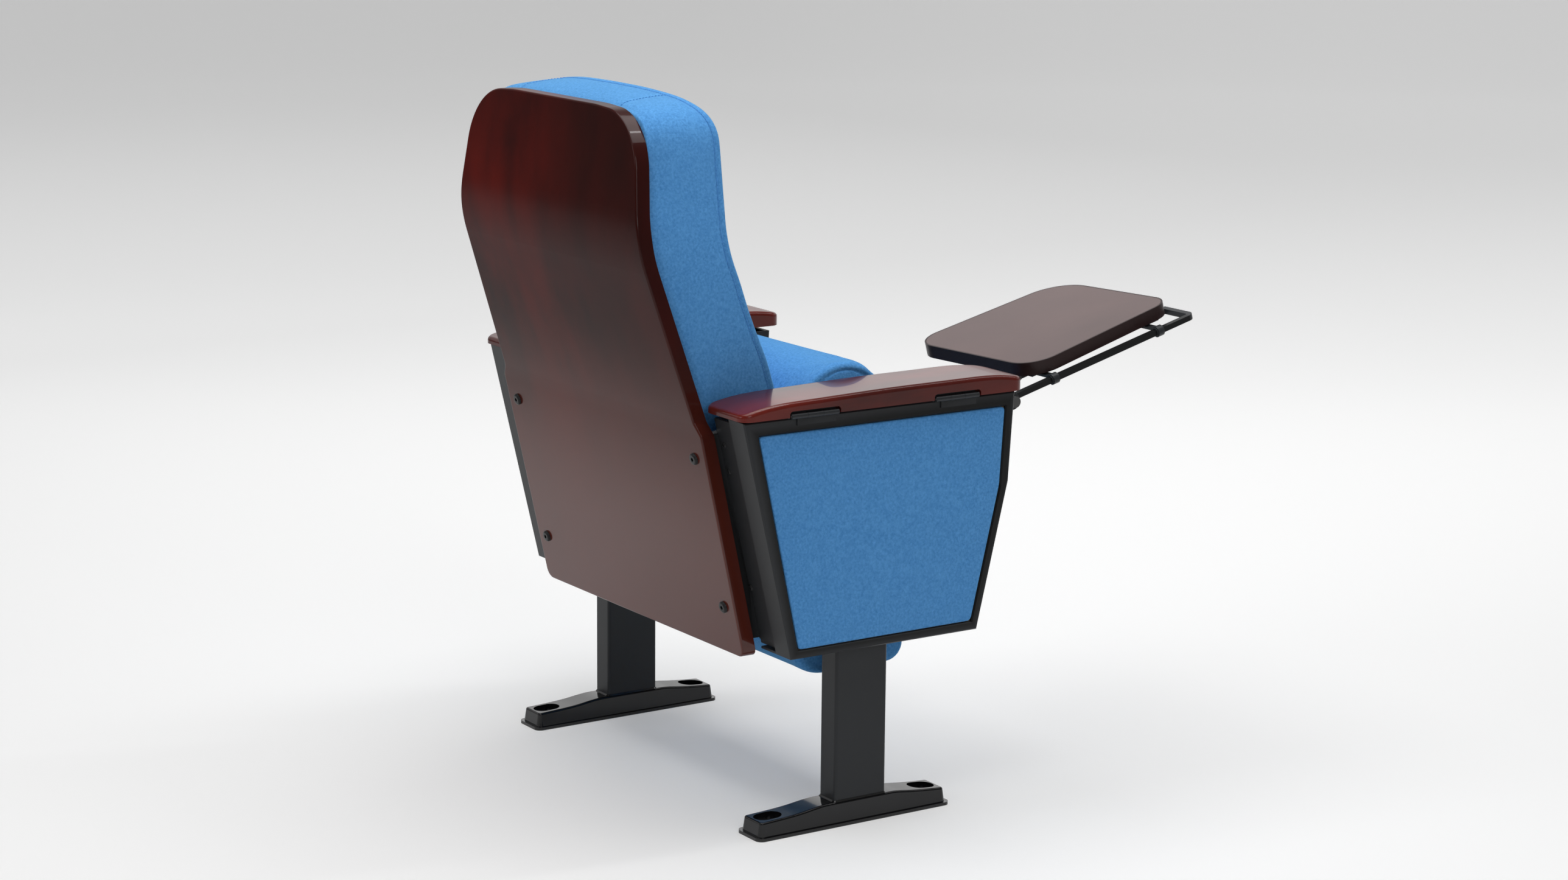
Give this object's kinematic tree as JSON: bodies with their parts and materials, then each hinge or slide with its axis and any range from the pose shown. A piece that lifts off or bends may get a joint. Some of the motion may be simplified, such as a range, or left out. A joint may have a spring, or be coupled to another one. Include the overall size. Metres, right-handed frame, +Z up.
{
  "type": "tip up auditorium seat",
  "caption": "Tip up auditorium seat on two floor stands, with fabric side panels, a wooden back shell, arm caps, a sprung seat and a fold-up writing tablet.",
  "frame": {"origin": "on the floor, at the middle of the four floor bolt holes", "axes": "+Z up; the sitter faces -Y; the sitter's right, with the writing tablet, is -X"},
  "size_m": [0.6971, 0.8859, 0.9845],
  "materials": {
    "blue_fabric": "woven blue upholstery",
    "mahogany": "gloss mahogany lacquer",
    "tablet_laminate": "satin grey-brown laminate",
    "dark_edging": "satin dark edging",
    "plywood": "bare plywood",
    "gloss_black": "gloss black enamel",
    "rubber": "matt",
    "nylon": "natural nylon",
    "bright_steel": "zinc plated",
    "dark_fasteners": "black oxide",
    "black_steel": "fine satin black powder coat"
  },
  "bodies": {
    "stands_and_back": {"back_board": "mahogany", "back_bolts": "dark_fasteners", "back_core": "plywood", "back_cushion": "blue_fabric", "back_nuts": "bright_steel", "bracket_screws": "dark_fasteners", "cap_packers": "rubber", "cap_screws": "dark_fasteners", "clevis_screws": "dark_fasteners", "cover_screws": "dark_fasteners", "hinge_fixed_leaves": "black_steel", "housing_screws": "dark_fasteners", "left_back_brackets": "bright_steel", "left_box_shell": "black_steel", "left_cap": "mahogany", "left_column": "black_steel", "left_fabric_panel": "blue_fabric", "left_foot": "gloss_black", "left_outer_frame": "black_steel", "left_panel_board": "plywood", "left_pivot_housing": "black_steel", "left_rear_cover": "black_steel", "left_return_spring": "bright_steel", "pivot_bushes": "nylon", "right_back_brackets": "bright_steel", "right_box_shell": "black_steel", "right_column": "black_steel", "right_fabric_panel": "blue_fabric", "right_foot": "gloss_black", "right_outer_frame": "black_steel", "right_panel_board": "plywood", "right_pivot_housing": "black_steel", "right_rear_cover": "black_steel", "right_return_spring": "bright_steel", "stop_buffers": "rubber", "tablet_clevis": "black_steel", "tilt_pin": "dark_fasteners", "tilt_washers": "dark_fasteners"},
    "seat": {"seat_cushion": "blue_fabric", "seat_under_cover": "blue_fabric", "seat_board": "plywood", "seat_rails": "black_steel", "seat_cross_tubes": "black_steel", "left_seat_bracket": "black_steel", "right_seat_bracket": "black_steel", "left_seat_shaft": "bright_steel", "right_seat_shaft": "bright_steel"},
    "arm_cap": {"right_cap": "mahogany", "hinge_moving_leaves": "black_steel", "hinge_pins": "bright_steel"},
    "tablet_arm": {"tablet_rod_frame": "black_steel", "flip_collars": "black_steel", "tablet_rest_pads": "rubber"},
    "tablet": {"tablet_board": "tablet_laminate", "tablet_edge_band": "dark_edging", "tablet_under_rail": "black_steel", "tablet_clips": "black_steel"}
  },
  "joints": [
    {"name": "seat_tip", "type": "hinge", "parent": "stands_and_back", "child": "seat", "pos_m": [0, -0.06, 0.33], "axis": [1, 0, 0], "range_deg": [0, 82], "stiffness_Nm_per_rad": 7, "springref_deg": -28.65},
    {"name": "cap_open", "type": "hinge", "parent": "stands_and_back", "child": "arm_cap", "pos_m": [-0.3455, -0.02, 0.5771], "axis": [0, -1, 0], "range_deg": [0, 105]},
    {"name": "tablet_tilt", "type": "hinge", "parent": "stands_and_back", "child": "tablet_arm", "pos_m": [-0.287, -0.26185, 0.55315], "axis": [-1, 0, 0], "range_deg": [0, 73]},
    {"name": "tablet_flip", "type": "hinge", "parent": "tablet_arm", "child": "tablet", "pos_m": [-0.298, -0.31, 0.56623], "axis": [0, -0.965, 0.2622], "range_deg": [0, 90]}
  ]
}
